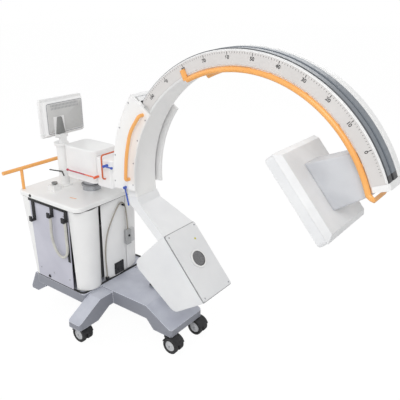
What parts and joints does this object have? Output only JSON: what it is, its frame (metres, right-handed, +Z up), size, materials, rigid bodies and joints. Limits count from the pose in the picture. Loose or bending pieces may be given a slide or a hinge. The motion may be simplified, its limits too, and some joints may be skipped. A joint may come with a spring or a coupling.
{
  "type": "mobile c-arm x-ray stand",
  "caption": "Mobile C-arm X-ray stand: wheeled cabinet with lift column, rotating carriage and a long C with tube tank and flat detector at its ends.",
  "frame": {"origin": "on the floor, under the middle of the whole stand", "axes": "+Z up, +X from the cabinet towards the C, +Y away from the side with the cable loop"},
  "size_m": [2.079, 0.8, 1.644],
  "materials": {
    "black_plastic": "matt",
    "burnt_orange": "satin",
    "cable_grey": "matt jacket",
    "cast_grey": "fine painted casting",
    "crimson": "satin",
    "dark_rubber": "matt",
    "detector_grey": "satin",
    "inner_metal": "plain",
    "lever_blue": "satin",
    "orange_grip": "satin powder coat",
    "scale_silver": "brushed with printed marks",
    "screen_glass": "gloss",
    "steel": "brushed",
    "track_slate": "anodised",
    "violet_panel": "satin",
    "wheel_tread": "matt",
    "white_cover": "satin moulded",
    "window_grey": "mottled"
  },
  "bodies": {
    "base": {"base_frame": "cast_grey", "cabinet_lid": "white_cover", "cabinet_seals": "dark_rubber", "side_panels": "violet_panel", "rear_cover": "white_cover", "front_cover_near": "white_cover", "front_cover_middle": "white_cover", "front_cover_far": "white_cover", "power_units": "inner_metal", "column_outer": "steel", "push_bar": "orange_grip", "monitor_post": "steel", "cable_hooks": "black_plastic", "side_cable": "cable_grey", "front_fittings": "black_plastic", "hand_switch": "cable_grey", "hand_switch_cord": "cable_grey"},
    "lift": {"column_inner": "steel"},
    "swivel": {"column_head": "white_cover"},
    "reach": {"reach_beam": "steel", "rotation_hub": "white_cover", "u_handle": "burnt_orange"},
    "lever_red": {"brake_lever_red": "crimson"},
    "lever_blue": {"brake_lever_blue": "lever_blue"},
    "carriage": {"carriage_housing": "white_cover", "carriage_rollers": "steel", "d_handles": "orange_grip"},
    "lever_carriage": {"brake_lever_carriage": "lever_blue"},
    "c_arm": {"c_profile": "white_cover", "scale_strips": "scale_silver", "outer_track": "track_slate", "cable_duct_cover": "white_cover", "c_end_cap": "white_cover", "rail_handle": "orange_grip", "tube_arm": "white_cover", "tank_shell": "white_cover", "tank_inner_cover": "white_cover", "xray_tube_insert": "inner_metal", "collimator_turret": "white_cover", "beam_window": "window_grey", "detector_frame": "detector_grey", "detector_plate": "black_plastic", "detector_shell": "detector_grey"},
    "pedal": {"brake_pedal": "black_plastic"},
    "monitor_turn": {"monitor_yoke": "white_cover"},
    "monitor": {"monitor_rear_shell": "white_cover", "monitor_bezel": "white_cover", "monitor_screen": "screen_glass"},
    "stop": {"stop_button": "crimson"},
    "switch_button": {"hand_switch_button": "black_plastic"},
    "caster_front_near": {"caster_fork_front_near": "black_plastic"},
    "wheels_front_near": {"caster_wheels_front_near": "wheel_tread"},
    "caster_front_far": {"caster_fork_front_far": "black_plastic"},
    "wheels_front_far": {"caster_wheels_front_far": "wheel_tread"},
    "caster_side_near": {"caster_fork_side_near": "black_plastic"},
    "wheels_side_near": {"caster_wheels_side_near": "wheel_tread"},
    "caster_side_far": {"caster_fork_side_far": "black_plastic"},
    "wheels_side_far": {"caster_wheels_side_far": "wheel_tread"},
    "caster_rear": {"caster_fork_rear": "black_plastic"},
    "wheels_rear": {"caster_wheels_rear": "wheel_tread"}
  },
  "joints": [
    {"name": "lift_slide", "type": "slide", "parent": "base", "child": "lift", "axis": [0, 0, 1], "range_m": [0, 0.45]},
    {"name": "swivel_turn", "type": "hinge", "parent": "lift", "child": "swivel", "pos_m": [-0.7, 0, 0.853], "axis": [0, 0, 1], "range_deg": [-10, 10]},
    {"name": "reach_slide", "type": "slide", "parent": "swivel", "child": "reach", "axis": [1, 0, 0], "range_m": [0, 0.2]},
    {"name": "angulation", "type": "hinge", "parent": "reach", "child": "carriage", "pos_m": [-0.42, 0, 0.934], "axis": [1, 0, 0], "range_deg": [-180, 180]},
    {"name": "orbital", "type": "hinge", "parent": "carriage", "child": "c_arm", "pos_m": [0.371, 0, 0.934], "axis": [0, -1, 0], "range_deg": [0, 110]},
    {"name": "red_lever_turn", "type": "hinge", "parent": "reach", "child": "lever_red", "pos_m": [-0.537, -0.1, 0.905], "axis": [0, 1, 0], "range_deg": [-12, 12]},
    {"name": "blue_lever_turn", "type": "hinge", "parent": "reach", "child": "lever_blue", "pos_m": [-0.458, -0.1, 0.985], "axis": [0, 1, 0], "range_deg": [-20, 20]},
    {"name": "carriage_lever_turn", "type": "hinge", "parent": "carriage", "child": "lever_carriage", "pos_m": [-0.304, -0.12, 0.9], "axis": [0, 1, 0], "range_deg": [-15, 15]},
    {"name": "pedal_press", "type": "slide", "parent": "base", "child": "pedal", "axis": [0, 0, 1], "range_m": [-0.006, 0], "stiffness_N_per_m": 6000, "springref_m": 0.002},
    {"name": "monitor_swivel", "type": "hinge", "parent": "base", "child": "monitor_turn", "pos_m": [-0.88, -0.05, 1.02], "axis": [0, 0, 1], "range_deg": [-20, 20]},
    {"name": "monitor_tilt", "type": "hinge", "parent": "monitor_turn", "child": "monitor", "pos_m": [-0.862, -0.05, 1.08], "axis": [0, 1, 0], "range_deg": [-20, 8]},
    {"name": "stop_press", "type": "slide", "parent": "base", "child": "stop", "axis": [0, 0, 1], "range_m": [-0.004, 0], "stiffness_N_per_m": 1200, "springref_m": 0.002},
    {"name": "switch_press", "type": "slide", "parent": "base", "child": "switch_button", "axis": [1, 0, 0], "range_m": [-0.0025, 0], "stiffness_N_per_m": 600, "springref_m": 0.002},
    {"name": "front_near_caster_turn", "type": "hinge", "parent": "base", "child": "caster_front_near", "pos_m": [-0.022, -0.11, 0.1], "axis": [0, 0, 1], "continuous": true},
    {"name": "front_near_wheel_roll", "type": "hinge", "parent": "caster_front_near", "child": "wheels_front_near", "pos_m": [0, -0.11, 0.047], "axis": [0, 1, 0], "continuous": true},
    {"name": "front_far_caster_turn", "type": "hinge", "parent": "base", "child": "caster_front_far", "pos_m": [-0.022, 0.11, 0.1], "axis": [0, 0, 1], "continuous": true},
    {"name": "front_far_wheel_roll", "type": "hinge", "parent": "caster_front_far", "child": "wheels_front_far", "pos_m": [0, 0.11, 0.047], "axis": [0, 1, 0], "continuous": true},
    {"name": "side_near_caster_turn", "type": "hinge", "parent": "base", "child": "caster_side_near", "pos_m": [-0.502, -0.34, 0.1], "axis": [0, 0, 1], "continuous": true},
    {"name": "side_near_wheel_roll", "type": "hinge", "parent": "caster_side_near", "child": "wheels_side_near", "pos_m": [-0.48, -0.34, 0.047], "axis": [0, 1, 0], "continuous": true},
    {"name": "side_far_caster_turn", "type": "hinge", "parent": "base", "child": "caster_side_far", "pos_m": [-0.502, 0.34, 0.1], "axis": [0, 0, 1], "continuous": true},
    {"name": "side_far_wheel_roll", "type": "hinge", "parent": "caster_side_far", "child": "wheels_side_far", "pos_m": [-0.48, 0.34, 0.047], "axis": [0, 1, 0], "continuous": true},
    {"name": "rear_caster_turn", "type": "hinge", "parent": "base", "child": "caster_rear", "pos_m": [-0.902, 0, 0.1], "axis": [0, 0, 1], "continuous": true},
    {"name": "rear_wheel_roll", "type": "hinge", "parent": "caster_rear", "child": "wheels_rear", "pos_m": [-0.88, 0, 0.047], "axis": [0, 1, 0], "continuous": true}
  ]
}
